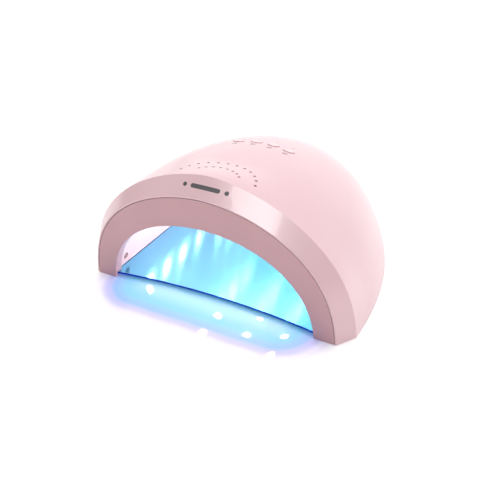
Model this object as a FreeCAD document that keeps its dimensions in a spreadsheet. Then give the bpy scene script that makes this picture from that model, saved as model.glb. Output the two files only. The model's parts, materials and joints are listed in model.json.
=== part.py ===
import FreeCAD, Part
import Sketcher
import math
import os

# UV LED nail lamp: a pink dome with an arched opening for one hand, four time buttons on top,
# LED boards round a reflector liner and a loose mirror base plate.
# Millimetres. +X right, +Y to the back, +Z up. The origin is on the floor under the middle of the
# lamp. Inside the shape functions y counts from the line through the two front feet, and
# front_line moves the finished shape to the origin.

V = FreeCAD.Vector

SIZES = [
    ("front_line", -99.5, "y of the line through the front feet"),
    ("rim_lift", 0.5, "floor to the lower rim of the shell"),
    ("shell_wall", 2.5, "wall of the outer shell"),
    ("lip_wall", 1.0, "shell wall at its front edge"),
    ("seam", 0.4, "gap between shell and bezel"),
    ("arch_half", 95.0, "front band: half width at the floor"),
    ("arch_top", 86.3, "front band: height"),
    ("crease_half", 103.6, "crease: half width at the floor"),
    ("crease_top", 98.3, "crease: height"),
    ("crease_back", 13.6, "crease: distance behind the feet at the floor"),
    ("crease_lean", 0.094, "crease plane: lean per unit height"),
    ("face_lean", 0.07, "front plane: lean per unit height"),
    ("dome_half", 103.9, "dome: half width"),
    ("dome_top", 92.7, "dome: height"),
    ("dome_middle", 27.2, "dome: y of its widest line"),
    ("dome_front", 180.5, "dome: semi axis to the front"),
    ("dome_rear", 178.0, "dome: semi axis to the back"),
    ("opening_half", 79.2, "opening in the bezel: half width"),
    ("opening_top", 62.7, "opening in the bezel: height"),
    ("bezel_thick", 2.4, "bezel face thickness"),
    ("bezel_lip", 7.0, "depth of the lip round the opening"),
    ("liner_half", 81.6, "liner inside: half width"),
    ("liner_top", 65.2, "liner inside: height"),
    ("liner_straight", 80.0, "liner: y where the side walls start to close in"),
    ("liner_end", 178.0, "liner inside: y of the rear wall"),
    ("liner_wall", 2.0, "wall of the liner"),
    ("flange_low", 3.3, "floor to the underside of the flange"),
    ("flange_thick", 2.0, "flange thickness"),
    ("plate_low", 1.4, "floor to the underside of the base plate"),
    ("plate_thick", 1.5, "base plate thickness"),
    ("plate_half", 89.0, "base plate half width"),
    ("plate_end", 184.0, "base plate: y of the rear edge"),
    ("plate_middle", 10.0, "base plate: y of the middle of its front edge"),
    ("plate_hollow", 484.0, "radius of the hollow front edge"),
    ("vent_radius", 1.05, "vent hole radius"),
    ("button_pitch", 13.4, "distance between buttons"),
    ("button_line", 86.8, "y of the middle of the button row"),
    ("button_bow", 0.0075, "bow of the button row per square millimetre"),
    ("button_long", 9.0, "button length across the lamp"),
    ("button_wide", 5.6, "button width"),
    ("button_gap", 0.3, "gap round a button"),
    ("button_proud", 0.6, "height of a button above the shell"),
    ("pipe_back", 8.5, "indicator behind its button"),
    ("pipe_radius", 0.9, "indicator light pipe radius"),
    ("board_thick", 1.6, "circuit board thickness"),
    ("switch_board_low", 76.0, "underside of the switch board"),
    ("switch_side", 6.0, "tact switch side"),
    ("switch_tall", 3.4, "tact switch height"),
    ("plunger_radius", 1.7, "tact switch plunger radius"),
    ("plunger_tall", 2.7, "plunger length"),
    ("main_board_low", 74.0, "underside of the main board"),
    ("strip_thick", 1.2, "LED board thickness"),
    ("strip_wide", 12.0, "LED board width"),
    ("strip_long", 88.0, "length of the four-LED boards"),
    ("strip_short", 34.0, "length of the three rear LED boards"),
    ("strip_gap", 0.3, "liner to LED board"),
    ("led_pitch", 25.0, "distance between LEDs"),
    ("led_side", 5.0, "LED package side"),
    ("led_tall", 1.6, "LED package height"),
    ("lens_radius", 2.0, "LED lens radius"),
    ("window_side", 7.0, "LED window side"),
    ("stake_radius", 1.2, "heat stake radius"),
    ("stake_head", 2.1, "heat stake head radius"),
    ("tab_side", 6.0, "liner fixing tab side"),
    ("tab_thick", 1.6, "liner fixing tab thickness"),
    ("magnet_radius", 2.45, "magnet radius"),
    ("magnet_tall", 2.2, "magnet height"),
    ("screw_radius", 1.25, "shell screw thread radius"),
    ("screw_head", 2.6, "shell screw head radius"),
    ("screw_head_tall", 1.5, "shell screw head height"),
    ("screw_long", 8.0, "shell screw length under the head"),
    ("boss_radius", 3.3, "screw boss radius"),
    ("foot_radius", 4.0, "rubber foot radius"),
    ("sensor_radius", 2.4, "infrared window radius"),
    ("sensor_y", 15.7, "infrared window: y"),
    ("sensor_z", 9.8, "infrared window: height"),
    ("jack_height", 13.0, "power jack axis height"),
    ("jack_barrel", 4.2, "power jack barrel radius"),
    ("jack_bore", 2.8, "power jack socket radius"),
    ("jack_pin", 1.05, "power jack centre pin radius"),
    ("jack_barrel_long", 6.0, "power jack barrel length"),
    ("jack_deep", 9.5, "power jack socket depth"),
    ("jack_pin_long", 8.5, "power jack centre pin length"),
    ("sensor_long", 1.4, "infrared part: length of its straight stem"),
    ("foot_stem", 1.45, "rubber foot stem radius"),
    ("foot_tall", 6.0, "rubber foot height with its stem"),
    ("well_radius", 1.9, "well for the switch plunger"),
    ("main_board_long", 76.0, "main board across the lamp"),
    ("main_board_wide", 52.0, "main board along the lamp"),
    ("switch_board_long", 64.0, "switch board across the lamp"),
    ("switch_board_wide", 24.0, "switch board along the lamp"),
    ("mark_long", 18.5, "mark on the front band: straight length of the bar"),
    ("mark_wide", 3.0, "mark on the front band: width"),
    ("mark_deep", 0.35, "mark on the front band: depth"),
    ("button_stem", 2.0, "button stem radius"),
    ("button_flange", 1.1, "how far the flange of a button reaches past its cap"),
    ("button_flange_low", 1.4, "inside of the shell down to the flange of a button"),
    ("post_radius", 2.6, "board post radius"),
    ("coil_radius", 4.6, "power coil: radius of its middle line"),
    ("coil_wire", 2.0, "power coil: radius of its winding"),
    ("capacitor_radius", 4.0, "capacitor radius"),
    ("capacitor_tall", 9.0, "capacitor height"),
    ("socket_long", 9.0, "wire socket length"),
    ("socket_wide", 4.5, "wire socket width"),
    ("socket_tall", 4.0, "wire socket height"),
    ("board_screw_radius", 0.9, "board screw thread radius"),
    ("board_screw_long", 5.0, "board screw length under the head"),
    ("board_screw_head", 1.9, "board screw head radius"),
    ("board_screw_head_tall", 1.2, "board screw head height"),
    ("indicator_long", 2.0, "indicator LED length"),
    ("indicator_wide", 1.25, "indicator LED width"),
    ("indicator_tall", 0.8, "indicator LED height"),
    ("filter_wide", 72.0, "dust filter across the lamp"),
    ("filter_long", 34.0, "dust filter along the lamp"),
    ("filter_start", 12.0, "dust filter: y of its front edge"),
    ("jack_start", 184.6, "y of the power jack's inner end"),
    ("jack_end", 200.0, "y of the power jack's mouth"),
    ("jack_block_long", 10.0, "power jack block length"),
    ("jack_block_side", 9.0, "power jack block width and height"),
    ("jack_board_wide", 16.0, "power jack board width"),
    ("jack_board_tall", 14.0, "power jack board height"),
    ("jack_board_thick", 1.5, "power jack board thickness"),
    ("sensor_x", 83.6, "back of the infrared parts from the middle"),
    ("sensor_board_start", 10.9, "y of the front edge of the infrared boards"),
    ("sensor_board_side", 8.2, "infrared board width and height"),
    ("sensor_board_thick", 1.2, "infrared board thickness"),
]

# Section curves: bulge exponents and how far the curve reaches below the floor.
FACE_CURVE = (1.84, 2.86, 18.7)
CREASE_CURVE = (1.69, 2.475, 9.85)
OPENING_CURVE = (2.06, 2.63, 15.9)
DOME_CURVE = (2.97, 1.30)
PLAN_BULGE = 2.2
FLARE = 12.0
CREASE_BLEND = (6.0, 38.0)           # y where the crease arch starts to run into the dome, and over
                                     # what length it does

# Vent holes: y of the arc's middle, its radius, first and last angle, number of holes.
VENT_ARCS = [(8.0, 28.5, 15.0, 165.0, 12), (6.0, 18.6, 37.0, 143.0, 8)]

doc = FreeCAD.newDocument("NailLamp")
sheet = doc.addObject("Spreadsheet::Sheet", "Sizes")
for row, (alias, value, note) in enumerate(SIZES, 1):
    sheet.set(f"A{row}", note)
    sheet.set(f"B{row}", str(value))
    sheet.setAlias(f"B{row}", alias)
doc.recompute()

size = {alias: float(sheet.get(alias)) for alias, _, _ in SIZES}
pieces = {}


# ---------------------------------------------------------------- helpers for document objects

def place(x, y, z, axis=V(0, 0, 1)):
    """Placement for a point counted from the front line, with local Z turned to axis."""
    return FreeCAD.Placement(V(x, y + size["front_line"], z), FreeCAD.Rotation(V(0, 0, 1), axis))


def bind(obj, **expressions):
    """Bind properties to cells: every word of an expression is an alias of the sheet."""
    for prop, expression in expressions.items():
        words = [f"Sizes.{w}" if w[0].isalpha() else w for w in expression.split()]
        obj.setExpression(prop, " ".join(words))
    return obj


def cylinder(name, radius, height, placement):
    obj = bind(doc.addObject("Part::Cylinder", name), Radius=radius, Height=height)
    obj.Placement = placement
    return obj


def box(name, length, width, height, placement):
    obj = bind(doc.addObject("Part::Box", name), Length=length, Width=width, Height=height)
    obj.Placement = placement
    return obj


def cut(name, base, *tools):
    """base with all tools taken away."""
    tool = tools[0] if len(tools) == 1 else fuse(name + "_tools", *tools)
    obj = doc.addObject("Part::Cut", name)
    obj.Base, obj.Tool = base, tool
    return obj


def fuse(name, *shapes):
    obj = doc.addObject("Part::MultiFuse", name)
    obj.Shapes = list(shapes)
    return obj


def group(name, members):
    """Several separate solids in one node."""
    obj = doc.addObject("Part::Compound", name)
    obj.Links = list(members)
    return obj


def feature(name, shape):
    """A shape made with Part's functions, moved from the front line to the origin."""
    obj = doc.addObject("Part::Feature", name)
    obj.Shape = shape
    obj.Placement = place(0, 0, 0)
    return obj


def piece(label, obj):
    obj.Label = label
    pieces[label] = obj
    return obj


def origin_plane(body, role):
    return next(f for f in body.Origin.OriginFeatures if f.Role == role)


def plate_body(name, length, width, thick, placement, holes=(), hole_radius=None):
    """PartDesign body: a rectangular plate centred on its origin, with round holes."""
    body = doc.addObject("PartDesign::Body", name)
    outline = body.newObject("Sketcher::SketchObject", name + "_outline")
    outline.AttachmentSupport = [(origin_plane(body, "XY_Plane"), "")]
    outline.MapMode = "FlatFace"
    corners = [V(-1, -1, 0), V(1, -1, 0), V(1, 1, 0), V(-1, 1, 0)]
    for i in range(4):
        outline.addGeometry(Part.LineSegment(corners[i], corners[(i + 1) % 4]), False)
    for i in range(4):
        outline.addConstraint(Sketcher.Constraint("Coincident", i, 2, (i + 1) % 4, 1))
    for i in (0, 2):
        outline.addConstraint(Sketcher.Constraint("Horizontal", i))
    for i in (1, 3):
        outline.addConstraint(Sketcher.Constraint("Vertical", i))
    outline.addConstraint(Sketcher.Constraint("Symmetric", 0, 1, 1, 2, -1, 1))
    across = outline.addConstraint(Sketcher.Constraint("DistanceX", 0, 1, 0, 2, 2))
    along = outline.addConstraint(Sketcher.Constraint("DistanceY", 1, 1, 1, 2, 2))
    outline.setExpression(f"Constraints[{across}]", length)
    outline.setExpression(f"Constraints[{along}]", width)
    pad = body.newObject("PartDesign::Pad", name + "_pad")
    pad.Profile = outline
    pad.setExpression("Length", thick)
    if holes:
        round_holes = body.newObject("Sketcher::SketchObject", name + "_holes")
        round_holes.AttachmentSupport = [(origin_plane(body, "XY_Plane"), "")]
        round_holes.MapMode = "FlatFace"
        for i, (x, y) in enumerate(holes):
            round_holes.addGeometry(Part.Circle(V(x, y, 0), V(0, 0, 1), hole_radius), False)
            round_holes.addConstraint(Sketcher.Constraint("Radius", i, hole_radius))
        pocket = body.newObject("PartDesign::Pocket", name + "_drilled")
        pocket.Profile = round_holes
        pocket.Type = 1
        pocket.Midplane = True
    body.Placement = placement
    return body


# ---------------------------------------------------------------- outer form

def arch_height(x, half, top, curve):
    """Height of an arch of the given half width and height over x; negative outside it."""
    bulge, crown, sunk = curve
    full = half / (1 - (sunk / (top + sunk)) ** crown) ** (1 / bulge)
    if abs(x) >= half:
        return -(abs(x) - half) * FLARE
    return -sunk + (top + sunk) * (1 - (abs(x) / full) ** bulge) ** (1 / crown)


def smooth_step(value):
    value = min(max(value, 0.0), 1.0)
    return value * value * (3 - 2 * value)


def shell_height(x, y, inset):
    """Height of the outer skin over x, y: the crease arch in front runs into the dome behind."""
    crease = arch_height(x, size["crease_half"] - inset, size["crease_top"] - inset, CREASE_CURVE)
    depth = size["dome_front"] if y < size["dome_middle"] else size["dome_rear"]
    plan = math.hypot(x / (size["dome_half"] - inset), (y - size["dome_middle"]) / (depth - inset))
    power, crown = DOME_CURVE
    if plan < 1:
        dome = (size["dome_top"] - inset) * (1 - plan ** power) ** (1 / crown)
    else:
        dome = -(plan - 1) * size["dome_half"] * FLARE
    blend_start, blend_length = CREASE_BLEND
    share = smooth_step((y - blend_start) / blend_length)
    return (1 - share) * crease + share * dome


def liner_height(x, y, grow):
    """Height of the reflector liner over x, y: a straight arch with a rounded rear end."""
    half, top = size["liner_half"] + grow, size["liner_top"] + grow
    reach = size["liner_end"] + grow - size["liner_straight"]
    back = max(0.0, y - size["liner_straight"]) / reach
    plan = ((abs(x) / half) ** PLAN_BULGE + back ** PLAN_BULGE) ** (1 / PLAN_BULGE)
    if plan >= 1:
        return -(plan - 1) * half * FLARE
    drop = (1 - back ** 2.6) ** (1 / 2.6)
    share = abs(x) / half / (1 - back ** PLAN_BULGE) ** (1 / PLAN_BULGE)
    return arch_height(share * half, half, top, OPENING_CURVE) * drop


def skin_solid(height, rows=31, columns=33):
    """Solid under a height function: rays from a point under the floor give the skin's points."""
    centre = V(0, 4, -40)
    front, rear, side = math.radians(98.5), math.radians(8), math.radians(78)
    grid = []
    for i in range(rows):
        turn = front + (rear - front) * i / (rows - 1)
        up = V(0, math.cos(turn), math.sin(turn))
        line = []
        for j in range(columns):
            swing = side * (2 * j / (columns - 1) - 1)
            ray = up * math.cos(swing) + V(math.sin(swing), 0, 0)
            low, high = 0.0, 20.0
            while centre.z + ray.z * high < height(ray.x * high, centre.y + ray.y * high):
                low, high = high, high + 8.0
            for _ in range(40):
                mid = (low + high) / 2
                if centre.z + ray.z * mid < height(ray.x * mid, centre.y + ray.y * mid):
                    low = mid
                else:
                    high = mid
            line.append(centre + ray * low)
        grid.append(line)
    surface = Part.BSplineSurface()
    surface.interpolate(grid)
    return surface.toShape().extrude(V(0, 0, -160))


def behind(distance, lean):
    """Block behind a leaning plane that meets the floor at y = distance."""
    block = Part.makeBox(400, 400, 400, V(-200, 0, -200))
    turn = FreeCAD.Rotation(V(1, 0, 0), math.degrees(math.atan(lean)))
    block.Placement = FreeCAD.Placement(V(0, distance, 0), turn)
    return block


def slab(low, high):
    return Part.makeBox(400, 500, high - low, V(-200, -100, low))


def arch_wire(half, top, curve, lean, distance=0.0, low=0.0):
    """Closed wire of an arch in a leaning plane; low is how far the legs reach down."""
    points = []
    for k in range(-16, 17):
        x = half * math.copysign(1 - (1 - abs(k) / 16) ** 2, k)
        z = 0.0 if abs(k) == 16 else arch_height(x, half, top, curve)
        points.append(V(x, distance - lean * z, z))
    spline = Part.BSplineCurve()
    spline.interpolate(points)
    left, right = points[0], points[-1]
    if low == 0.0:
        return Part.Wire([spline.toShape(), Part.makeLine(right, left)])
    corners = [right, right + V(0, lean * low, -low), left + V(0, lean * low, -low), left]
    legs = [Part.makeLine(corners[i], corners[i + 1]) for i in range(3)]
    return Part.Wire([spline.toShape()] + legs)


def envelope(inset, lip):
    """Solid inside the outer form: the dome behind the crease and the front band before it."""
    dome = skin_solid(lambda x, y: shell_height(x, y, inset))
    dome = dome.common(behind(size["crease_back"], size["crease_lean"])).common(slab(0, 150))
    front = min(dome.Faces, key=lambda f: f.CenterOfMass.y)
    top = max(front.OuterWire.Edges, key=lambda e: e.Length)
    curve = top.Curve.toBSpline(top.FirstParameter, top.LastParameter)
    if curve.StartPoint.x > 0:
        curve.reverse()
    crease = Part.Wire([curve.toShape(), Part.makeLine(curve.EndPoint, curve.StartPoint)])
    face = arch_wire(size["arch_half"] - lip, size["arch_top"] - lip, FACE_CURVE, size["face_lean"])
    band = Part.makeLoft([face, crease], True, True)
    return dome.fuse(band).removeSplitter()


def solid_of(shape):
    """The single solid of a boolean result."""
    return max(shape.Solids, key=lambda s: s.Volume)


# ---------------------------------------------------------------- places of repeated features

def button_spots():
    """x and y of the four buttons, left to right."""
    xs = [(i - 1.5) * size["button_pitch"] for i in range(4)]
    return [(x, size["button_line"] - size["button_bow"] * x * x) for x in xs]


def vent_spots():
    """x and y of the twenty vent holes, on two arcs."""
    spots = []
    for middle, radius, first, last, count in VENT_ARCS:
        for i in range(count):
            turn = math.radians(first + (last - first) * i / (count - 1))
            spots.append((radius * math.cos(turn), middle + radius * math.sin(turn)))
    return spots


def liner_frame(turn, y):
    """Placement on the liner's outer skin: local X along the lamp, local Z outwards."""
    def radius(angle):
        low, high = 0.0, 120.0
        for _ in range(50):
            mid = (low + high) / 2
            inside = mid * math.sin(angle) < liner_height(mid * math.cos(angle), y, size["liner_wall"])
            low, high = (mid, high) if inside else (low, mid)
        return low

    angle = math.radians(turn)
    step = 0.01
    here, ahead = radius(angle), radius(angle + step)
    spot = V(here * math.cos(angle), y, here * math.sin(angle))
    tangent = V(ahead * math.cos(angle + step), y, ahead * math.sin(angle + step)) - spot
    outward = V(tangent.z, 0, -tangent.x).normalize()
    across = outward.cross(V(0, 1, 0))
    return FreeCAD.Placement(spot, FreeCAD.Rotation(V(0, 1, 0), across, outward, "ZXY"))


def rear_frame(turn, rise=17.0):
    """Placement on the liner's rounded rear wall: local X level, local Z outwards."""
    centre = size["liner_straight"]

    def hit(across, up):
        ray = V(math.sin(across) * math.cos(up), math.cos(across) * math.cos(up), math.sin(up))
        low, high = 0.0, 150.0
        for _ in range(50):
            mid = (low + high) / 2
            inside = ray.z * mid < liner_height(ray.x * mid, centre + ray.y * mid, size["liner_wall"])
            low, high = (mid, high) if inside else (low, mid)
        return V(0, centre, 0) + ray * low

    across, up, step = math.radians(turn), math.radians(rise), 0.01
    spot = hit(across, up)
    level = hit(across + step, up) - hit(across - step, up)
    steep = hit(across, up + step) - hit(across, up - step)
    outward = steep.cross(level).normalize()
    level = V(level.x, level.y, 0)
    return FreeCAD.Placement(spot, FreeCAD.Rotation(level, outward.cross(level), outward, "ZXY"))


# Each LED board: placement on the liner, its LED places and its stake places along local X.
FOUR_LEDS = [(i - 1.5) * size["led_pitch"] for i in range(4)]
THREE_LEDS = [-12.0, 0.0, 12.0]
STRIPS = {
    "right": (liner_frame(22, 71.0), FOUR_LEDS, (-25.0, 25.0), "strip_long"),
    "upper_right": (liner_frame(64, 78.0), FOUR_LEDS, (-25.0, 25.0), "strip_long"),
    "top": (liner_frame(90, 71.0), FOUR_LEDS, (-25.0, 25.0), "strip_long"),
    "upper_left": (liner_frame(116, 78.0), FOUR_LEDS, (-25.0, 25.0), "strip_long"),
    "left": (liner_frame(158, 71.0), FOUR_LEDS, (-25.0, 25.0), "strip_long"),
    "rear_left": (rear_frame(-42), THREE_LEDS, (-6.0, 6.0), "strip_short"),
    "rear": (rear_frame(0), THREE_LEDS, (-6.0, 6.0), "strip_short"),
    "rear_right": (rear_frame(42), THREE_LEDS, (-6.0, 6.0), "strip_short"),
}
MAIN_POSTS = [(x, y) for x in (-16.0, 16.0) for y in (32.0, 72.0)]
SWITCH_POSTS = [(x, y) for x in (-13.4, 13.4) for y in (82.5, 100.5)]
SCREW_SPOTS = [(x, y) for y, x0 in ((30.0, 92.6), (72.0, 92.2), (175.5, 47.5)) for x in (-x0, x0)]
MAGNET_SPOTS = [(x, y) for y in (22.0, 62.0) for x in (-86.4, 86.4)]
TAB_SPOTS = [(x, y) for y, x0 in ((42.0, 88.0), (98.0, 86.2)) for x in (-x0, x0)]
FOOT_SPOTS = [(x, y) for y, x0 in ((17.0, 95.0), (52.0, 94.6), (190.0, 24.0)) for x in (-x0, x0)]


# ---------------------------------------------------------------- outer shell

def round_bar(radius, x, y, low, high):
    return Part.makeCylinder(radius, high - low, V(x, y, low))


def oval_bar(length, width, x, y, low, high):
    """Upright bar with an oval section, long way across the lamp."""
    ellipse = Part.Ellipse(V(x, y, low), length / 2, width / 2)
    return Part.Face(Part.Wire(ellipse.toShape())).extrude(V(0, 0, high - low))


def mark_prisms():
    """Upright pill and two dots, turned to stand square on the front band at its top."""
    low = V(0, -size["face_lean"] * size["arch_top"], size["arch_top"])
    high = V(0, size["crease_back"] - size["crease_lean"] * size["crease_top"], size["crease_top"])
    rise = high - low
    outward = V(1, 0, 0).cross(rise).normalize()
    frame = FreeCAD.Placement((low + high) * 0.5, FreeCAD.Rotation(V(1, 0, 0), rise, outward, "ZXY"))
    half, wide = size["mark_long"] / 2, size["mark_wide"] / 2
    bar = Part.makeBox(2 * half, 2 * wide, 12, V(-half, -wide, -6))
    ends = [Part.makeCylinder(wide, 12, V(x, 0, -6)) for x in (-half, half)]
    dots = [Part.makeCylinder(wide, 12, V(x, 0, -6)) for x in (-half - 4 * wide, half + 4 * wide)]
    solids = [solid_of(bar.fuse(ends))] + dots
    for solid in solids:
        solid.Placement = frame
    return solids


def make_shell():
    wall = size["shell_wall"]
    outer = envelope(0.0, 0.0)
    inner = envelope(wall, size["lip_wall"])
    shell = solid_of(outer.cut(inner))
    under_shell = envelope(wall - 0.6, size["lip_wall"])
    bosses = []
    for x, y in SCREW_SPOTS:
        low = size["flange_low"] + size["flange_thick"]
        boss = round_bar(size["boss_radius"], x, y, low, 70)
        bosses.append(solid_of(boss.common(under_shell)))
    shell = solid_of(shell.fuse(bosses))
    holes = [round_bar(size["vent_radius"], x, y, 60, 110) for x, y in vent_spots()]
    for x, y in button_spots():
        gap = 2 * size["button_gap"]
        holes.append(oval_bar(size["button_long"] + gap, size["button_wide"] + gap, x, y, 60, 110))
        holes.append(round_bar(size["pipe_radius"] + 0.05, x, y + size["pipe_back"], 60, 110))
    thread_end = size["flange_low"] + size["screw_long"] + 1
    for x, y in SCREW_SPOTS:
        holes.append(round_bar(size["screw_radius"] + 0.05, x, y, 0, thread_end))
    jack_mouth = V(0, 190, size["jack_height"])
    holes.append(Part.makeCylinder(size["jack_barrel"] + 0.2, 40, jack_mouth, V(0, 1, 0)))
    shell = solid_of(shell.cut(holes).common(slab(size["rim_lift"], 150)))
    under_mark = envelope(size["mark_deep"], size["mark_deep"])
    marks = [prism.common(shell).cut(under_mark) for prism in mark_prisms()]
    return solid_of(shell.cut(marks)), Part.makeCompound([solid_of(mark) for mark in marks]), outer


shell_shape, mark_shape, outer_form = make_shell()
piece("outer_shell", feature("OuterShell", shell_shape))
piece("mark_inlay", feature("MarkInlay", mark_shape))


# ---------------------------------------------------------------- bezel, liner and bottom frame

def arch_block(half, top, curve, distance, depth):
    """Arch pushed back from a plane parallel to the front plane."""
    wire = arch_wire(half, top, curve, size["face_lean"], distance, low=20.0)
    return Part.Face(wire).extrude(V(0, depth, 0))


def make_bezel():
    edge = size["lip_wall"] + size["seam"]
    half, top = size["arch_half"] - edge, size["arch_top"] - edge
    face = arch_block(half, top, FACE_CURVE, 0.0, size["bezel_thick"])
    face = face.common(slab(size["rim_lift"], 150))
    half, top = size["opening_half"], size["opening_top"]
    lip = arch_block(half + 1.5, top + 1.5, OPENING_CURVE, 0.0, size["bezel_lip"])
    lip = lip.common(slab(size["flange_low"], 150))
    opening = arch_block(half, top, OPENING_CURVE, -20.0, 60.0)
    return solid_of(face.fuse(lip).cut(opening))


def strip_box(frame, x, wide, low, high):
    """Square block in a strip's own frame."""
    block = Part.makeBox(wide, wide, high - low, V(x - wide / 2, -wide / 2, low))
    block.Placement = frame
    return block


def strip_bar(frame, x, radius, low, high):
    bar = Part.makeCylinder(radius, high - low, V(x, 0, low))
    bar.Placement = frame
    return bar


def tab_block(x, y, wide, low, high):
    return Part.makeBox(wide, wide, high - low, V(x - wide / 2, y - wide / 2, low))


def make_liner():
    """Reflector dome round the hand: LED windows, heat stakes, board posts and fixing tabs."""
    wall, top = size["liner_wall"], size["flange_low"] + size["flange_thick"]
    start = behind(size["bezel_thick"] + 0.2, size["face_lean"])
    outer = skin_solid(lambda x, y: liner_height(x, y, wall)).common(start)
    outer = outer.common(slab(size["flange_low"], 150))
    hollow = skin_solid(lambda x, y: liner_height(x, y, 0.0))
    added = []
    for posts, low in ((MAIN_POSTS, "main_board_low"), (SWITCH_POSTS, "switch_board_low")):
        for x, y in posts:
            added.append(round_bar(size["post_radius"], x, y, 50, size[low]))
    stake_top = size["strip_gap"] + size["strip_thick"] + 0.05
    for frame, _, stakes, _ in STRIPS.values():
        for x in stakes:
            added.append(strip_bar(frame, x, size["stake_radius"], -1.0, stake_top + 0.2))
            added.append(strip_bar(frame, x, size["stake_head"], stake_top, stake_top + 0.8))
    for x, y in TAB_SPOTS:
        inward = math.copysign(3.0, x)
        added.append(tab_block(x, y, size["tab_side"], top, top + size["tab_thick"]))
        added.append(tab_block(x - inward, y, size["tab_side"], top, top + size["tab_thick"]))
    body = outer.fuse(added)
    removed = [hollow]
    for posts, low in ((MAIN_POSTS, "main_board_low"), (SWITCH_POSTS, "switch_board_low")):
        for x, y in posts:
            removed.append(round_bar(0.95, x, y, size[low] - 5, 90))
    for frame, leds, _, _ in STRIPS.values():
        for x in leds:
            removed.append(strip_box(frame, x, size["window_side"], -6.0, 0.28))
    for x, y in TAB_SPOTS:
        removed.append(round_bar(size["stake_radius"] + 0.1, x, y, top - 1, top + 9))
    sensor_way = V(-120, size["sensor_y"], size["sensor_z"])
    removed.append(Part.makeCylinder(size["sensor_radius"] + 0.15, 240, sensor_way, V(1, 0, 0)))
    return solid_of(body.cut(removed))


def make_bottom_frame():
    """Flat ring between liner and shell: it takes the screws, magnets and feet."""
    low, top = size["flange_low"], size["flange_low"] + size["flange_thick"]
    start = behind(size["bezel_thick"] + 0.2, size["face_lean"])
    room = envelope(size["shell_wall"] + 0.3, size["lip_wall"] + size["seam"])
    inside = skin_solid(lambda x, y: liner_height(x, y, size["liner_wall"] + 0.15))
    ring = room.common(start).common(slab(low, top)).cut(inside)
    stakes = []
    for x, y in TAB_SPOTS:
        stakes.append(round_bar(size["stake_radius"], x, y, low, top + size["tab_thick"] + 0.3))
        head_low = top + size["tab_thick"] + 0.05
        stakes.append(round_bar(size["stake_head"], x, y, head_low, head_low + 0.8))
    holes = [round_bar(1.7, x, y, 0, 8) for x, y in SCREW_SPOTS]
    holes += [round_bar(size["magnet_radius"] + 0.05, x, y, 0, 8) for x, y in MAGNET_SPOTS]
    holes += [round_bar(1.5, x, y, 0, 8) for x, y in FOOT_SPOTS]
    return solid_of(ring.fuse(stakes).cut(holes))


piece("front_bezel", feature("FrontBezel", make_bezel()))
piece("reflector_liner", feature("ReflectorLiner", make_liner()))
piece("bottom_frame", feature("BottomFrame", make_bottom_frame()))


# ---------------------------------------------------------------- base plate, magnets, feet, screws

def make_base_plate():
    """Mirror plate: hollow front edge, straight sides, rounded rear edge."""
    half, straight = size["plate_half"], size["liner_straight"]
    reach = size["plate_end"] - straight
    drop = size["plate_hollow"] - math.sqrt(size["plate_hollow"] ** 2 - half ** 2)
    left, right = V(-half, size["plate_middle"] - drop, 0), V(half, size["plate_middle"] - drop, 0)
    edge = Part.Arc(left, V(0, size["plate_middle"], 0), right).toShape()
    rear = []
    for k in range(-14, 15):
        turn = math.pi / 2 * (1 - k / 14)
        power = 2 / PLAN_BULGE
        x = half * math.copysign(abs(math.cos(turn)) ** power, k) if k else 0.0
        rear.append(V(-x, straight + reach * abs(math.sin(turn)) ** power, 0))
    curve = Part.BSplineCurve()
    curve.interpolate(rear)
    sides = [Part.makeLine(right, rear[0]), Part.makeLine(rear[-1], left)]
    outline = Part.Wire([edge, sides[0], curve.toShape(), sides[1]])
    plate = Part.Face(outline).extrude(V(0, 0, size["plate_thick"]))
    plate.translate(V(0, 0, size["plate_low"]))
    return plate.common(behind(size["bezel_thick"] + 0.5, size["face_lean"]))


def shell_screw(name, x, y):
    """Pan head screw with a cross recess: head under the bottom frame, thread above."""
    top = size["flange_low"]
    head_low = top - size["screw_head_tall"]
    shank = cylinder(name + "_shank", "screw_radius", "screw_long", place(x, y, top))
    cap = cylinder(name + "_head", "screw_head", "screw_head_tall", place(x, y, head_low))
    long, wide, deep = 2.4, 0.6, 0.8
    recess = []
    for turn in (0, 90):
        slot = doc.addObject("Part::Box", f"{name}_slot{turn}")
        slot.Length, slot.Width, slot.Height = long, wide, deep
        turned = FreeCAD.Placement(V(), FreeCAD.Rotation(V(0, 0, 1), turn))
        centred = FreeCAD.Placement(V(-long / 2, -wide / 2, 0), FreeCAD.Rotation())
        slot.Placement = place(x, y, head_low - 0.01) * turned * centred
        recess.append(slot)
    return cut(name, fuse(name + "_body", shank, cap), *recess)


piece("base_plate", feature("BasePlate", make_base_plate()))

magnets = [
    cylinder(f"Magnet{i}", "magnet_radius", "magnet_tall", place(x, y, size["flange_low"] + 0.1))
    for i, (x, y) in enumerate(MAGNET_SPOTS)
]
piece("magnets", group("Magnets", magnets))

shell_screws = [shell_screw(f"ShellScrew{i}", x, y) for i, (x, y) in enumerate(SCREW_SPOTS)]
piece("shell_screws", group("ShellScrews", shell_screws))

feet = []
for i, (x, y) in enumerate(FOOT_SPOTS):
    pad = cylinder(f"FootPad{i}", "foot_radius", "flange_low", place(x, y, 0))
    stem = cylinder(f"FootStem{i}", "foot_stem", "foot_tall", place(x, y, 0))
    rounded = doc.addObject("Part::Fillet", f"FootPadRounded{i}")
    rounded.Base = pad
    doc.recompute()
    rounded.Edges = [(n + 1, 0.6, 0.6) for n, e in enumerate(pad.Shape.Edges)
                     if e.BoundBox.ZMax < 0.1]
    feet.append(fuse(f"Foot{i}", rounded, stem))
piece("rubber_feet", group("RubberFeet", feet))


# ---------------------------------------------------------------- LED boards

def on_strip(frame, x=0.0, y=0.0, z=0.0):
    return place(0, 0, 0) * frame * FreeCAD.Placement(V(x, y, z), FreeCAD.Rotation())


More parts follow.
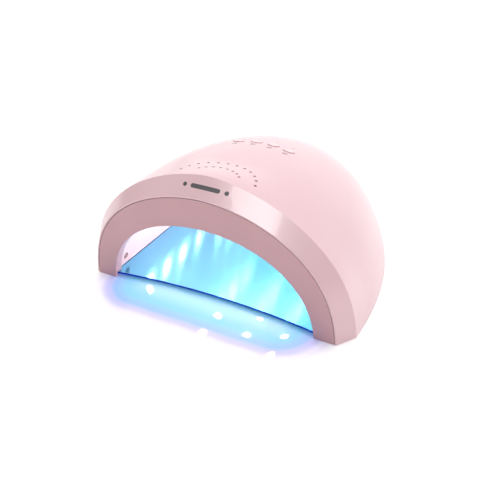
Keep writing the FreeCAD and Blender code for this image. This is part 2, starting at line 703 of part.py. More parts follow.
led_low = size["strip_gap"] - size["led_tall"]
for side, (frame, leds, stakes, long) in STRIPS.items():
    holes = [(x, 0.0) for x in stakes]
    board = plate_body(f"LedBoard_{side}", f"Sizes.{long}", "Sizes.strip_wide", "Sizes.strip_thick",
                       on_strip(frame, z=size["strip_gap"]), holes, size["stake_radius"] + 0.2)
    piece(f"led_board_{side}", board)
    half = size["led_side"] / 2
    packages, lenses = [], []
    for i, x in enumerate(leds):
        corner = on_strip(frame, x - half, -half, led_low)
        packages.append(box(f"Led_{side}{i}", "led_side", "led_side", "led_tall", corner))
        lens = bind(doc.addObject("Part::Sphere", f"Lens_{side}{i}"), Radius="lens_radius")
        lens.Angle1, lens.Angle2 = -90, 0
        lens.Placement = on_strip(frame, x, 0, led_low)
        lenses.append(lens)
    piece(f"led_packages_{side}", group(f"LedPackages_{side}", packages))
    piece(f"led_lenses_{side}", group(f"LedLenses_{side}", lenses))


# ---------------------------------------------------------------- main board

def board_on_posts(name, posts, length, width, low):
    """Circuit board screwed on posts: its holes sit over them."""
    xs, ys = [p[0] for p in posts], [p[1] for p in posts]
    middle = ((min(xs) + max(xs)) / 2, (min(ys) + max(ys)) / 2)
    holes = [(x - middle[0], y - middle[1]) for x, y in posts]
    return plate_body(name, f"Sizes.{length}", f"Sizes.{width}", "Sizes.board_thick",
                      place(*middle, size[low]), holes, 1.1)


def block_on(name, x, y, low, length, width, height):
    """A box standing on a board, centred over x, y; its sizes are names of cells."""
    return box(name, length, width, height, place(x - size[length] / 2, y - size[width] / 2, low))


board_top = size["main_board_low"] + size["board_thick"]
switch_top = size["switch_board_low"] + size["board_thick"]
main_board = board_on_posts("MainBoard", MAIN_POSTS, "main_board_long", "main_board_wide",
                            "main_board_low")
piece("main_board", main_board)

# Controller, three LED drivers and the sensor amplifier: x and y of the corner, length, width, height.
CHIPS = [
    (-19.0, 37.0, 10.0, 10.0, 1.6),
    (9.0, 59.5, 6.0, 5.0, 2.2),
    (17.0, 59.5, 6.0, 5.0, 2.2),
    (25.0, 59.5, 6.0, 5.0, 2.2),
    (-24.5, 62.0, 5.0, 4.0, 1.5),
]
chips = []
for i, (x, y, length, width, height) in enumerate(CHIPS):
    chips.append(box(f"Chip{i}", str(length), str(width), str(height), place(x, y, board_top)))
piece("driver_chips", group("DriverChips", chips))
tanks = [cylinder(f"Capacitor{i}", "capacitor_radius", "capacitor_tall", place(x, y, board_top))
         for i, (x, y) in enumerate([(24, 40), (14, 40)])]
piece("capacitors", group("Capacitors", tanks))
coil = bind(doc.addObject("Part::Torus", "PowerCoil"), Radius1="coil_radius", Radius2="coil_wire")
coil.Placement = place(1, 46, board_top + size["coil_wire"])
piece("power_coil", coil)
SOCKETS = [(-30, 52, board_top), (32, 52, board_top), (0, 71, board_top), (0, 100.5, switch_top)]
sockets = [block_on(f"Socket{i}", x, y, low, "socket_long", "socket_wide", "socket_tall")
           for i, (x, y, low) in enumerate(SOCKETS)]
piece("wire_sockets", group("WireSockets", sockets))


# ---------------------------------------------------------------- buttons and switches

def board_screw(name, x, y, top):
    """Slotted screw with its head on a board at the height top."""
    shank_place = place(x, y, top - size["board_screw_long"])
    shank = cylinder(name + "_shank", "board_screw_radius", "board_screw_long", shank_place)
    head = cylinder(name + "_head", "board_screw_head", "board_screw_head_tall", place(x, y, top))
    slot = doc.addObject("Part::Box", name + "_slot")
    slot.Length, slot.Width, slot.Height = 2.6, 0.5, 1.0
    slot.Placement = place(x - 1.3, y - 0.25, top + 0.6)
    return cut(name, fuse(name + "_body", shank, head), slot)


switch_board = board_on_posts("SwitchBoard", SWITCH_POSTS, "switch_board_long", "switch_board_wide",
                              "switch_board_low")
piece("switch_board", switch_board)
screwed = [(x, y, board_top) for x, y in MAIN_POSTS] + [(x, y, switch_top) for x, y in SWITCH_POSTS]
board_screws = [board_screw(f"BoardScrew{i}", *spot) for i, spot in enumerate(screwed)]
piece("board_screws", group("BoardScrews", board_screws))

plunger_top = switch_top + size["switch_tall"] + 1.2
proud_form = skin_solid(lambda x, y: shell_height(x, y, -size["button_proud"]))


def make_button(x, y):
    """Oval cap with a stem down to its switch and a flange that keeps it in the shell."""
    top = shell_height(x, y, 0.0)
    flange_top = top - size["shell_wall"] - size["button_flange_low"]
    long, wide, reach = size["button_long"], size["button_wide"], 2 * size["button_flange"]
    cap = oval_bar(long, wide, x, y, flange_top - 0.5, 110).common(proud_form)
    flange = oval_bar(long + reach, wide + reach, x, y, flange_top - 1.0, flange_top)
    stem = round_bar(size["button_stem"], x, y, plunger_top, flange_top - 0.5)
    button = solid_of(cap.fuse([flange, stem]).removeSplitter())
    rim = [e for e in button.Edges if e.BoundBox.ZMin > top - 2.0]
    try:
        return button.makeFillet(0.5, rim)
    except Part.OCCError:
        return button


switch_bodies, indicator_leds, pipes = [], [], []
for i, (x, y) in enumerate(button_spots(), 1):
    body = block_on(f"Switch{i}", x, y, switch_top, "switch_side", "switch_side", "switch_tall")
    well = cylinder(f"SwitchWell{i}", "well_radius", "switch_tall", place(x, y, switch_top + 1.0))
    switch_bodies.append(cut(f"SwitchBody{i}", body, well))
    plunger_place = place(x, y, plunger_top - size["plunger_tall"])
    plunger = cylinder(f"Plunger{i}", "plunger_radius", "plunger_tall", plunger_place)
    piece(f"switch_plunger_{i}", plunger)
    piece(f"button_cap_{i}", feature(f"ButtonCap{i}", make_button(x, y)))
    back = y + size["pipe_back"]
    indicator_leds.append(block_on(f"IndicatorLed{i}", x, back, switch_top, "indicator_long",
                                   "indicator_wide", "indicator_tall"))
    pipe = round_bar(size["pipe_radius"], x, back, switch_top + 1.0, 110)
    pipes.append(solid_of(pipe.common(outer_form)))
piece("tact_switches", group("TactSwitches", switch_bodies))
piece("indicator_leds", group("IndicatorLeds", indicator_leds))
piece("indicator_pipes", feature("IndicatorPipes", Part.makeCompound(pipes)))


# ---------------------------------------------------------------- dust filter, power jack, hand sensors

def make_dust_filter():
    """Thin mesh sheet glued under the vent holes."""
    wall = size["shell_wall"]
    above = skin_solid(lambda x, y: shell_height(x, y, wall + 0.1))
    below = skin_solid(lambda x, y: shell_height(x, y, wall + 0.5))
    wide, long = size["filter_wide"], size["filter_long"]
    area = Part.makeBox(wide, long, 60, V(-wide / 2, size["filter_start"], 60))
    return solid_of(above.cut(below).common(area))


piece("dust_filter", feature("DustFilter", make_dust_filter()))

jack_z, jack_end = size["jack_height"], size["jack_end"]
back_ways = V(0, 1, 0)
half = size["jack_block_side"] / 2
jack_block = box("JackBlock", "jack_block_side", "jack_block_long", "jack_block_side",
                 place(-half, size["jack_start"], jack_z - half))
barrel_place = place(0, jack_end - size["jack_barrel_long"], jack_z, back_ways)
jack_barrel = cylinder("JackBarrel", "jack_barrel", "jack_barrel_long", barrel_place)
socket_place = place(0, jack_end - size["jack_deep"], jack_z, back_ways)
jack_socket = cylinder("JackSocket", "jack_bore", "jack_deep", socket_place)
piece("power_jack", cut("PowerJack", fuse("JackBody", jack_block, jack_barrel), jack_socket))
piece("jack_pin", cylinder("JackPin", "jack_pin", "jack_pin_long", socket_place))
flange_top = size["flange_low"] + size["flange_thick"]
jack_board_y = size["jack_start"] - size["jack_board_thick"]
piece("jack_board", box("JackBoard", "jack_board_wide", "jack_board_thick", "jack_board_tall",
                        place(-size["jack_board_wide"] / 2, jack_board_y, flange_top)))

for side, way, name in (("left", -1, "emitter"), ("right", 1, "receiver")):
    inner_x = size["sensor_x"] if way > 0 else -size["sensor_x"] - size["sensor_board_thick"]
    board = box(f"SensorBoard_{side}", "sensor_board_thick", "sensor_board_side", "sensor_board_side",
                place(inner_x, size["sensor_board_start"], flange_top))
    piece(f"sensor_board_{side}", board)
    inwards = V(-way, 0, 0)
    eye_y, eye_z = size["sensor_y"], size["sensor_z"]
    stem = cylinder(f"SensorStem_{side}", "sensor_radius", "sensor_long",
                    place(way * size["sensor_x"], eye_y, eye_z, inwards))
    eye = bind(doc.addObject("Part::Sphere", f"SensorEye_{side}"), Radius="sensor_radius")
    eye.Angle1, eye.Angle2 = 0, 90
    eye.Placement = place(way * (size["sensor_x"] - size["sensor_long"]), eye_y, eye_z, inwards)
    piece(f"infrared_{name}", fuse(f"Infrared_{side}", stem, eye))


# ---------------------------------------------------------------- check and write

doc.recompute()
for obj in doc.Objects:
    if "Invalid" in obj.State or "Error" in obj.State:
        raise RuntimeError(f"{obj.Name} failed: {obj.State}")
for label, obj in pieces.items():
    if obj.Shape.isNull() or not obj.Shape.isValid() or not obj.Shape.Solids:
        raise RuntimeError(f"{label} has no valid solid")

os.makedirs("parts", exist_ok=True)
for label, obj in pieces.items():
    obj.Shape.exportStep(f"parts/{label}.step")
print(len(pieces), "nodes written")
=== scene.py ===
import json
import math

import bpy
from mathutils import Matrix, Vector


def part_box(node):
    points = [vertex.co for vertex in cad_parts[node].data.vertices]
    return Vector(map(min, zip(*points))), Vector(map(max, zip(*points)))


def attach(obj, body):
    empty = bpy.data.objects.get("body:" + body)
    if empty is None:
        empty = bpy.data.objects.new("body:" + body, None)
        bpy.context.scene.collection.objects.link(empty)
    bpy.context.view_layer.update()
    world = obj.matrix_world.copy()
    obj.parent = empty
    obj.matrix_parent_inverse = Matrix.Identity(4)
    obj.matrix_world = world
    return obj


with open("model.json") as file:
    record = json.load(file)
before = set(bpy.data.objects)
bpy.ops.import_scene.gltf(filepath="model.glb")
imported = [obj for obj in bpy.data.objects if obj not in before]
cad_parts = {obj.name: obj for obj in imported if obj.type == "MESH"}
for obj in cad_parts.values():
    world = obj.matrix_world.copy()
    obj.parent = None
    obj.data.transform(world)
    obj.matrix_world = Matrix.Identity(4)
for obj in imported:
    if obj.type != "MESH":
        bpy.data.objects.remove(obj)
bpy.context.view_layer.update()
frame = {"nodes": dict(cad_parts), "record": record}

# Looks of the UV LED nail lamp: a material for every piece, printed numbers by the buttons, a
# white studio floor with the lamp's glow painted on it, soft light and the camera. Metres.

MM = 0.001
plate_low, plate_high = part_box("base_plate")
FRONT = -0.0995                      # y of the line through the front arch's two feet
UP = Vector((0, 0, 1))
ABOVE = 0.2                          # a height clear of the lamp
EDGE_RADIUS = 0.4 * MM               # by which the shading rounds a plastic or metal edge


def srgb(red, green, blue, alpha=1.0):
    """Linear colour from 0..255 screen values."""
    def linear(value):
        value /= 255
        return value / 12.92 if value <= 0.04045 else ((value + 0.055) / 1.055) ** 2.4
    return (linear(red), linear(green), linear(blue), alpha)


# ---------------------------------------------------------------- node helpers

class Maker:
    """One procedural material: short calls that add nodes and link them."""

    def __init__(self, name):
        self.material = bpy.data.materials.new(name)
        self.material.use_nodes = True
        self.tree = self.material.node_tree
        self.shader = self.tree.nodes["Principled BSDF"]
        self.place = self.tree.nodes.new("ShaderNodeTexCoord").outputs["Object"]
        self.rounded = None

    def feed(self, socket, value):
        """Link another node's output to the socket, or set a plain value on it."""
        if isinstance(value, bpy.types.NodeSocket):
            self.tree.links.new(value, socket)
        else:
            socket.default_value = value

    def node(self, kind, inputs=None, **settings):
        made = self.tree.nodes.new(kind)
        for key, value in settings.items():
            setattr(made, key, value)
        for key, value in (inputs or {}).items():
            self.feed(made.inputs[key], value)
        return made

    def math(self, operation, first, second=0.0, clamp=False):
        return self.node("ShaderNodeMath", {0: first, 1: second},
                         operation=operation, use_clamp=clamp).outputs[0]

    def stretch(self, x=1.0, y=1.0, z=1.0):
        """Places for a noise, closer together along an axis with a larger number."""
        return self.node("ShaderNodeMapping",
                         {"Vector": self.place, "Scale": (x, y, z)}).outputs[0]

    def noise(self, size, detail=2.0, roughness=0.5, vector=None):
        """Noise whose features are about size metres."""
        return self.node("ShaderNodeTexNoise", {
            "Vector": vector or self.place, "Scale": 1 / size, "Detail": detail,
            "Roughness": roughness}).outputs["Fac"]

    def span(self, value, low, high, start=0.3, end=0.7):
        """value from start..end to low..high."""
        return self.node("ShaderNodeMapRange", {
            "Value": value, "From Min": start, "From Max": end,
            "To Min": low, "To Max": high}).outputs[0]

    def mix(self, share, first, second):
        """first where share is 0 and second where it is 1."""
        return self.node("ShaderNodeMix", {0: share, 6: first, 7: second},
                         data_type="RGBA").outputs[2]

    def ramp(self, value, stops, interpolation="LINEAR"):
        made = self.node("ShaderNodeValToRGB", {"Fac": value})
        made.color_ramp.interpolation = interpolation
        elements = made.color_ramp.elements
        while len(elements) < len(stops):
            elements.new(0.5)
        for element, (position, colour) in zip(elements, stops):
            element.position = position
            element.color = colour
        return made.outputs["Color"]

    def axes(self):
        return self.node("ShaderNodeSeparateXYZ", {"Vector": self.place}).outputs

    def upwards(self):
        """1 where the surface faces up, 0 on its sides, -1 where it faces down."""
        normal = self.node("ShaderNodeNewGeometry").outputs["Normal"]
        return self.node("ShaderNodeSeparateXYZ", {"Vector": normal}).outputs["Z"]

    def bump(self, heights):
        """heights: (value, depth in metres) pairs, laid over each other."""
        normal = self.rounded
        for value, depth in heights:
            inputs = {"Height": value, "Distance": depth, "Strength": 1.0}
            if normal is not None:
                inputs["Normal"] = normal
            normal = self.node("ShaderNodeBump", inputs).outputs["Normal"]
        self.tree.links.new(normal, self.shader.inputs["Normal"])

    def set(self, **values):
        """Shader inputs; a name's underscores stand for spaces."""
        for key, value in values.items():
            self.feed(self.shader.inputs[key.replace("_", " ")], value)

    def edges(self, colour, worn):
        """colour with its edges rubbed towards worn; the rounded edge also shades the piece."""
        self.rounded = self.node("ShaderNodeBevel", {"Radius": EDGE_RADIUS}, samples=4).outputs[0]
        flat = self.node("ShaderNodeNewGeometry").outputs["Normal"]
        turn = self.node("ShaderNodeVectorMath", {0: self.rounded, 1: flat},
                         operation="DOT_PRODUCT").outputs["Value"]
        edge = self.span(turn, 0.7, 0.0, 0.86, 0.98)
        patches = self.span(self.noise(4 * MM, 3), 0.2, 1.0)
        return self.mix(self.math("MULTIPLY", edge, patches, clamp=True), colour, worn)


def tinted(colour, factor):
    """The colour made lighter or darker."""
    return tuple(min(1.0, c * factor) for c in colour[:3]) + (1.0,)


PLASTIC_IOR = 1.5
PLASTIC_SPREAD = 0.04                # of the roughness, either way
METAL_SPREAD = 0.08


def moulded(name, colour, roughness, grain=0.25, depth=3e-6, coat=0.0):
    """Moulded plastic: faint colour drift, fine mould grain (mm), handling marks in the gloss."""
    make = Maker(name)
    drift = make.span(make.noise(35 * MM, 3), 0, 1)
    base = make.mix(drift, colour, tinted(colour, 0.94))
    marks = make.noise(9 * MM, 5, 0.65)
    make.set(Base_Color=make.edges(base, tinted(colour, 1.12)),
             Roughness=make.span(marks, roughness - PLASTIC_SPREAD, roughness + PLASTIC_SPREAD),
             Coat_Weight=coat, Coat_Roughness=0.06, IOR=PLASTIC_IOR)
    make.bump([(make.noise(grain * MM, 2), depth), (make.noise(12 * MM, 1), depth * 4)])
    return make.material


def metal(name, colour, roughness, stretch=(1, 1, 1)):
    """Metal with fine scratches, along one way where stretch says so."""
    make = Maker(name)
    lines = make.noise(0.3 * MM, 4, 0.7, make.stretch(*stretch))
    stain = make.span(make.noise(3 * MM, 3), 0, 1)
    base = make.mix(stain, colour, tinted(colour, 0.82))
    make.set(Base_Color=make.edges(base, tinted(colour, 1.2)), Metallic=1.0,
             Roughness=make.span(lines, roughness - METAL_SPREAD, roughness + METAL_SPREAD))
    make.bump([(lines, 4e-6)])
    return make.material


# ---------------------------------------------------------------- materials

PINK = srgb(239, 200, 206)
# The bezel's darker pink is partly its own tone and partly painted shade of the front face.
SHADED_BEZEL_PINK = srgb(214, 168, 173)
# The rim's deep blue is painted shade of the plate's shaded edge, over the film's blue.
SHADED_EDGE_BLUE = srgb(14, 58, 214)        # rim of the base plate
THREAD_PITCH = 0.35 * MM             # of the dust mesh
COIL_BANDS = 420.0                   # scale of the bands on the coil, per metre
STRIPES = 105.0                      # capacitor stripes per metre


def pink_shell():
    """Glossy pink plastic with pale flecks and faint smears."""
    make = Maker("pink_shell")
    drift = make.span(make.noise(60 * MM, 2), 0, 1)
    base = make.mix(drift, PINK, tinted(PINK, 0.975))
    flecks = make.span(make.noise(1.2 * MM, 2), 0.0, 0.05, 0.6, 0.75)
    base = make.mix(flecks, base, srgb(255, 240, 240))
    smears = make.noise(30 * MM, 1)
    make.set(Base_Color=base, Roughness=make.span(smears, 0.29, 0.34), IOR=PLASTIC_IOR,
             Coat_Weight=0.3, Coat_Roughness=0.07)
    make.bump([(make.noise(0.5 * MM, 2), 1.5e-6), (make.noise(26 * MM, 1), 1.2e-5)])
    return make.material


def mirror_plate():
    """Polished steel under a blue film that changes from left to right, with a deep blue rim: the
    film's blue darkened as painted shade.
    """
    make = Maker("mirror_plate")
    across = make.span(make.axes()["X"], 0, 1, plate_low.x, plate_high.x)
    cloud = make.math("SUBTRACT", make.noise(34 * MM, 3, 0.6), 0.5)
    cloud = make.math("MULTIPLY", cloud, 0.35)
    film = make.ramp(make.math("ADD", across, cloud, clamp=True), [
        (0.0, srgb(116, 203, 248)), (0.38, srgb(124, 222, 251)),
        (0.62, srgb(118, 232, 253)), (1.0, srgb(102, 216, 251))])
    # The plate's side faces get the deep blue: painted shade of the shaded edge, over the film's
    # blue.
    rim = make.math("LESS_THAN", make.math("ABSOLUTE", make.upwards()), 0.5)
    rubbed = make.noise(1.1 * MM, 4, 0.7, make.stretch(1, 0.12, 1))
    front_to_back = make.node("ShaderNodeCombineXYZ", {"Y": 1.0}).outputs[0]
    make.set(Base_Color=make.mix(rim, film, SHADED_EDGE_BLUE),
             Metallic=make.math("SUBTRACT", 1.0, rim),
             Roughness=make.span(rubbed, 0.18, 0.24), Anisotropic=0.85, Tangent=front_to_back)
    make.bump([(make.noise(16 * MM, 2, vector=make.stretch(1, 1.5, 1)), 4e-5), (rubbed, 1e-6)])
    return make.material


def lit(name, colour, glow, strength, core=2.0):
    """A lit LED part: bright, a little brighter in patches core millimetres apart."""
    make = Maker(name)
    cells = make.node("ShaderNodeTexVoronoi", {"Vector": make.place, "Scale": 1 / (core * MM)})
    dies = make.span(cells.outputs["Distance"], 1.0, 0.75, 0.1, 0.6)
    make.set(Base_Color=make.mix(dies, tinted(colour, 0.85), colour),
             Roughness=make.span(make.noise(MM), 0.2, 0.35),
             Emission_Color=make.mix(dies, tinted(glow, 0.8), glow), Emission_Strength=strength)
    make.bump([(make.noise(0.3 * MM, 2), 4e-6)])
    return make.material


def circuit_board(name, mask, copper, track=1.6):
    """Solder mask over tracks, with tinned pads; track is the scale of the pattern in mm."""
    make = Maker(name)
    cells = make.node("ShaderNodeTexVoronoi", {
        "Vector": make.place, "Scale": 1 / (track * 2.2 * MM)},
        distance="MANHATTAN").outputs["Distance"]
    lines = make.math("FRACT", make.math("MULTIPLY", cells, 2.6))
    tracks = make.math("GREATER_THAN", lines, 0.62)
    pads = make.math("LESS_THAN", cells, 0.12)
    base = make.mix(tracks, mask, copper)
    make.set(Base_Color=make.mix(pads, base, srgb(205, 208, 205)),
             Metallic=make.math("MULTIPLY", pads, 0.9),
             Roughness=make.span(make.noise(2 * MM, 3), 0.28, 0.42), Coat_Weight=0.2)
    make.bump([(lines, 1.5e-5), (make.noise(0.4 * MM), 3e-6)])
    return make.material


def coil_copper():
    """Enamelled copper wire, its turns drawn as slanting bands."""
    make = Maker("coil_copper")
    turns = make.node("ShaderNodeTexWave", {
        "Vector": make.place, "Scale": COIL_BANDS, "Distortion": 1.5, "Detail": 2.0},
        bands_direction="DIAGONAL").outputs["Fac"]
    make.set(Base_Color=make.mix(turns, srgb(92, 40, 18), srgb(214, 126, 72)), Metallic=0.9,
             Roughness=make.span(make.noise(MM), 0.25, 0.4))
    make.bump([(turns, 2e-4)])
    return make.material


def capacitor_sleeve():
    """Dark printed sleeve with a pale stripe and a bare aluminium top."""
    make = Maker("capacitor_sleeve")
    repeat = make.math("FRACT", make.math("MULTIPLY", make.axes()["X"], STRIPES))
    stripe = make.math("GREATER_THAN", repeat, 0.72)
    top = make.math("GREATER_THAN", make.upwards(), 0.7)
    sleeve = make.mix(stripe, srgb(38, 42, 66), srgb(178, 184, 194))
    make.set(Base_Color=make.mix(top, sleeve, srgb(200, 202, 204)), Metallic=top,
             Roughness=make.span(make.noise(2 * MM, 3), 0.25, 0.42))
    make.bump([(make.noise(0.5 * MM, 3), 1e-5)])
    return make.material


def filter_mesh():
    """Fine woven mesh: two crossing sets of threads."""
    make = Maker("filter_mesh")
    axes = make.axes()
    turns = math.pi / THREAD_PITCH
    threads = []
    for axis in ("X", "Y"):
        wave = make.math("SINE", make.math("MULTIPLY", axes[axis], turns))
        threads.append(make.math("ABSOLUTE", wave))
    weave = make.math("MAXIMUM", *threads)
    thread = make.span(weave, 0, 1, 0.4, 0.95)
    make.set(Base_Color=make.mix(thread, srgb(30, 27, 28), srgb(120, 110, 112)),
             Roughness=make.span(make.noise(3 * MM, 3), 0.6, 0.8), Sheen_Weight=0.2)
    make.bump([(weave, 1.2e-4)])
    return make.material


def clear(name, colour, roughness, weight):
    """Clear or frosted moulding with a few flow lines; weight is the share of light let in."""
    make = Maker(name)
    flow = make.noise(2.5 * MM, 3, 0.6, make.stretch(1, 1, 0.3))
    make.set(Base_Color=make.mix(flow, colour, tinted(colour, 0.9)),
             IOR=1.49, Transmission_Weight=weight,
             Roughness=make.span(flow, roughness * 0.7, roughness * 1.3))
    make.bump([(flow, 1e-5)])
    return make.material


def foot_rubber():
    """Dark rubber with dust on it."""
    make = Maker("foot_rubber")
    dust = make.span(make.noise(5 * MM, 5, 0.7), 0.0, 0.35, 0.5, 0.8)
    make.set(Base_Color=make.mix(dust, srgb(52, 50, 50), srgb(128, 122, 120)),
             Roughness=make.span(make.noise(2 * MM, 3), 0.65, 0.85), Sheen_Weight=0.15)
    make.bump([(make.noise(0.35 * MM, 3), 3e-5)])
    return make.material


LED_WHITE = (1.0, 0.9, 0.9, 1.0)

materials = {
    "pink_shell": pink_shell(),
    # pink_bezel's darker pink is partly painted shade of the front face.
    "pink_bezel": moulded("pink_bezel", SHADED_BEZEL_PINK, 0.42, grain=0.4, depth=4e-6),
    "liner_white": moulded("liner_white", srgb(252, 216, 214), 0.34, depth=2e-6, coat=0.2),
    "mirror_plate": mirror_plate(),
    "button_pink": moulded("button_pink", srgb(250, 216, 221), 0.33, grain=0.5, coat=0.4),
    "plunger_black": moulded("plunger_black", srgb(38, 38, 40), 0.5),
    "led_board_aluminium": circuit_board("led_board_aluminium", srgb(226, 228, 228),
                                         srgb(206, 209, 210), 2.4),
    "led_ceramic": lit("led_ceramic", srgb(240, 240, 232), LED_WHITE, 17.0, 1.4),
    "led_lens": lit("led_lens", srgb(226, 236, 255), LED_WHITE, 24.0),
    "circuit_board": circuit_board("circuit_board", srgb(24, 96, 58), srgb(40, 124, 74)),
    "chip_black": moulded("chip_black", srgb(34, 34, 37), 0.55, grain=0.15, depth=1e-5),
    "capacitor_sleeve": capacitor_sleeve(),
    "coil_copper": coil_copper(),
    "socket_white": moulded("socket_white", srgb(232, 226, 208), 0.45),
    "switch_black": moulded("switch_black", srgb(44, 44, 46), 0.45, grain=0.2, depth=8e-6),
    "magnet_nickel": metal("magnet_nickel", srgb(206, 204, 198), 0.2),
    "screw_steel": metal("screw_steel", srgb(190, 190, 188), 0.32, (1, 8, 1)),
    "foot_rubber": foot_rubber(),
    "indicator_led": lit("indicator_led", srgb(236, 236, 226), srgb(255, 250, 240), 0.6, 1.2),
    "pipe_clear": clear("pipe_clear", srgb(250, 240, 242), 0.35, 0.5),
    "filter_mesh": filter_mesh(),
    "jack_black": moulded("jack_black", srgb(30, 30, 32), 0.4),
    "pin_brass": metal("pin_brass", srgb(214, 186, 112), 0.25),
    "infrared_clear": clear("infrared_clear", srgb(188, 156, 160), 0.3, 0.3),
    "infrared_dark": moulded("infrared_dark", srgb(118, 92, 100), 0.2, coat=0.5),
    "mark_grey": moulded("mark_grey", srgb(84, 81, 84), 0.6),
}


def dress_nodes():
    """The procedural material of each CAD node's slot in the record."""
    for part in frame["record"]["subparts"]:
        node = frame["nodes"][part["node"]]
        material = materials[part["material_slot"]]
        if not node.material_slots:
            node.data.materials.append(material)
        for slot in node.material_slots:
            slot.material = material


dress_nodes()


# ---------------------------------------------------------------- printed numbers

def shell_point(x, y):
    """Point and normal of the outer shell, looking straight down at x, y."""
    above = Vector((x, y, ABOVE))
    hit, point, normal, _ = frame["nodes"]["outer_shell"].ray_cast(above, -UP)
    if not hit:
        raise ValueError(f"the shell isn't under {x}, {y}")
    return point, normal


def print_ink():
    """Dark ink, worn to the pink of the shell in places."""
    make = Maker("print_ink")
    worn = make.span(make.noise(0.8 * MM, 4, 0.7), 0.0, 0.2, 0.55, 0.8)
    make.set(Base_Color=make.mix(worn, srgb(112, 90, 96), srgb(196, 162, 168)),
             Roughness=make.span(make.noise(MM, 3), 0.4, 0.55))
    make.bump([(make.noise(0.2 * MM, 2), 4e-6)])
    return make.material


INK = 0.03 * MM                      # thickness of the print
PRINT_HEIGHT = 4.0 * MM
PRINT_STEP = 7.4 * MM                # from the middle of a button to its number
ink = print_ink()


def printed_number(text, x, y):
    """A number lying on the shell around x, y, as thin solid print."""
    curve = bpy.data.curves.new(f"print_{text}", "FONT")
    curve.body = text
    curve.size = PRINT_HEIGHT
    curve.align_x, curve.align_y = "CENTER", "CENTER"
    curve.extrude = INK / 2
    curve.resolution_u = 4
    shape = bpy.data.objects.new(f"print_{text}_text", curve)
    bpy.context.scene.collection.objects.link(shape)
    bpy.context.view_layer.update()
    graph = bpy.context.evaluated_depsgraph_get()
    mesh = bpy.data.meshes.new_from_object(shape.evaluated_get(graph))
    bpy.data.objects.remove(shape)
    for vertex in mesh.vertices:
        point, normal = shell_point(x + vertex.co.x, y + vertex.co.y)
        vertex.co = point + normal * (vertex.co.z + INK)
    mesh.materials.clear()
    mesh.materials.append(ink)
    piece = bpy.data.objects.new(f"print_{text}", mesh)
    bpy.context.scene.collection.objects.link(piece)
    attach(piece, "lamp")


for number, text in enumerate(("10", "30", "60", "90"), 1):
    low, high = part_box(f"button_cap_{number}")
    printed_number(text, (low.x + high.x) / 2, (low.y + high.y) / 2 - PRINT_STEP)


# ---------------------------------------------------------------- floor with the lamp's glow

FLOOR_HALF = 4.0
POOL_HALF = 52 * MM                  # half the length of the line that the glow spreads from
POOL_LINE = FRONT + 2 * MM           # y of that line
POOL_SCALE = 75 * MM                 # distance from that line at 1.0 on the colour ramp
POOL_COLOURS = [
    (0.0, srgb(152, 212, 238)), (0.2, srgb(129, 201, 236)), (0.31, srgb(145, 190, 238)),
    (0.38, srgb(190, 196, 242)), (0.47, srgb(226, 228, 248)), (0.6, srgb(252, 252, 252))]
GLOSS_NEAR, GLOSS_FAR = 0.06, 0.16   # the floor's gloss fades out between these distances


def floor_material():
    """White floor, glossy near the lamp, with the glow of the opening painted in front of it."""
    make = Maker("studio_floor")
    axes = make.axes()
    nearest = make.node("ShaderNodeClamp", {
        "Value": axes["X"], "Min": -POOL_HALF, "Max": POOL_HALF}).outputs[0]
    x = make.math("SUBTRACT", axes["X"], nearest)
    y = make.math("SUBTRACT", axes["Y"], POOL_LINE)
    squares = [make.math("MULTIPLY", side, side) for side in (x, y)]
    far = make.math("SQRT", make.math("ADD", *squares))
    wobble = make.math("SUBTRACT", make.noise(40 * MM, 2), 0.5)
    wobble = make.math("MULTIPLY", wobble, 0.03)
    reach = make.math("ADD", make.math("DIVIDE", far, POOL_SCALE), wobble)
    # Painted glow: the floor's colour and the light it gives off are cyan in front of the opening
    # and white further off.
    glow = make.ramp(reach, POOL_COLOURS, "EASE")
    make.set(Base_Color=glow, Emission_Color=glow, Emission_Strength=0.22, IOR=1.45,
             Roughness=make.span(make.noise(20 * MM, 3), 0.01, 0.03),
             Specular_IOR_Level=make.span(far, 0.5, 0.0, GLOSS_NEAR, GLOSS_FAR))
    make.bump([(make.noise(30 * MM, 2), 1e-5)])
    return make.material


def make_floor():
    mesh = bpy.data.meshes.new("floor")
    signs = ((-1, -1), (1, -1), (1, 1), (-1, 1))
    corners = [(x * FLOOR_HALF, y * FLOOR_HALF, 0) for x, y in signs]
    mesh.from_pydata(corners, [], [(0, 1, 2, 3)])
    mesh.materials.append(floor_material())
    floor = bpy.data.objects.new("floor", mesh)
    bpy.context.scene.collection.objects.link(floor)


make_floor()


# ---------------------------------------------------------------- camera

CAMERA_PLACE = Vector((0.2119, -0.4576, 0.2993))
CAMERA_AIM = Vector((0.0044, -0.0608, 0.0346))
SENSOR_MM, LENS_MM = 36.0, 54.75


def put(thing, place, aim):
    """Stand a camera or a light at place, looking at aim."""
    thing.location = place
    thing.rotation_mode = "QUATERNION"
    thing.rotation_quaternion = (aim - place).to_track_quat("-Z", "Y")
    bpy.context.scene.collection.objects.link(thing)


def make_camera():
    data = bpy.data.cameras.new("camera")
    data.sensor_width = SENSOR_MM
    data.lens = LENS_MM
    data.clip_start = 0.02
    camera = bpy.data.objects.new("camera", data)
    put(camera, CAMERA_PLACE, CAMERA_AIM)
    bpy.context.scene.camera = camera


make_camera()


# ---------------------------------------------------------------- light

BEVEL_GLARE = (35 * MM, FRONT)       # x, y where the camera sees the light in the front band
BEVEL_DISTANCE = 0.9
BEVEL_SIZE = (0.55, 0.45)
BEVEL_WATTS = 7.5
FILL_COLOUR = (1.0, 0.84, 0.76)
FILL_RADIUS = 12 * MM
FILLS = (("liner_fill", (0, -30, 28), 0.14),              # name, place in mm, watts
         ("wall_fill_left", (-42, -60, 20), 0.016),
         ("wall_fill_right", (42, -60, 20), 0.016))
SKY_AIM = (-0.026, 0.41, 0.839)      # towards the bright side of the surround
SKY_LEVELS = (("From Min", 0.22), ("From Max", 0.46), ("To Min", 0.13), ("To Max", 1.34))


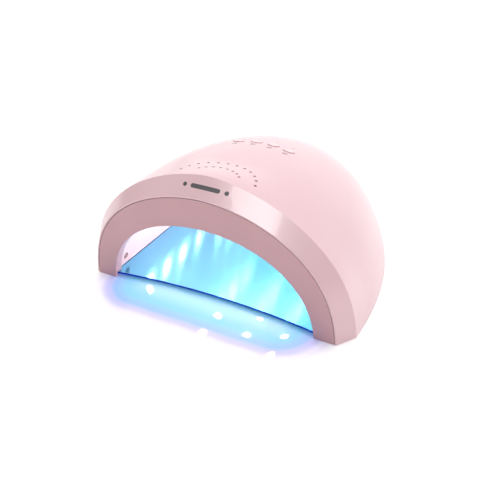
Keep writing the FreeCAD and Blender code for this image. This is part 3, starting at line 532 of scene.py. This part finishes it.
def make_bevel_light():
    """A softbox that gives no diffuse light, placed to be seen mirrored in the front band."""
    spot, normal = shell_point(*BEVEL_GLARE)
    view = (CAMERA_PLACE - spot).normalized()
    mirrored = 2 * normal.dot(view) * normal - view
    data = bpy.data.lights.new("bevel_light", "AREA")
    data.shape = "RECTANGLE"
    data.size, data.size_y = BEVEL_SIZE
    data.energy = BEVEL_WATTS
    light = bpy.data.objects.new("bevel_light", data)
    light.visible_diffuse = False
    put(light, spot + mirrored * BEVEL_DISTANCE, spot)


def make_fill(name, place, watts):
    """Soft light inside the opening that neither the camera nor a reflection sees."""
    data = bpy.data.lights.new(name, "POINT")
    data.energy = watts
    data.color = FILL_COLOUR
    data.shadow_soft_size = FILL_RADIUS
    fill = bpy.data.objects.new(name, data)
    fill.location = Vector(place) * MM
    fill.visible_camera = False
    fill.visible_glossy = False
    bpy.context.scene.collection.objects.link(fill)


def make_world():
    """White to the camera; to the object, bright from above and behind and dim from the front."""
    world = bpy.data.worlds.new("studio")
    world.use_nodes = True
    bpy.context.scene.world = world
    nodes, links = world.node_tree.nodes, world.node_tree.links
    towards = nodes.new("ShaderNodeVectorMath")
    towards.operation = "DOT_PRODUCT"
    towards.inputs[1].default_value = SKY_AIM
    links.new(nodes.new("ShaderNodeTexCoord").outputs["Generated"], towards.inputs[0])
    level = nodes.new("ShaderNodeMapRange")
    level.interpolation_type = "SMOOTHSTEP"
    for key, value in SKY_LEVELS:
        level.inputs[key].default_value = value
    links.new(towards.outputs["Value"], level.inputs["Value"])
    choice = nodes.new("ShaderNodeMix")
    links.new(nodes.new("ShaderNodeLightPath").outputs["Is Camera Ray"], choice.inputs[0])
    links.new(level.outputs[0], choice.inputs[2])
    choice.inputs[3].default_value = 1.0
    nodes["Background"].inputs["Color"].default_value = (1, 1, 1, 1)
    links.new(choice.outputs[0], nodes["Background"].inputs["Strength"])


make_world()
make_bevel_light()
for name, place, watts in FILLS:
    make_fill(name, place, watts)

bpy.context.scene.view_settings.view_transform = "Standard"
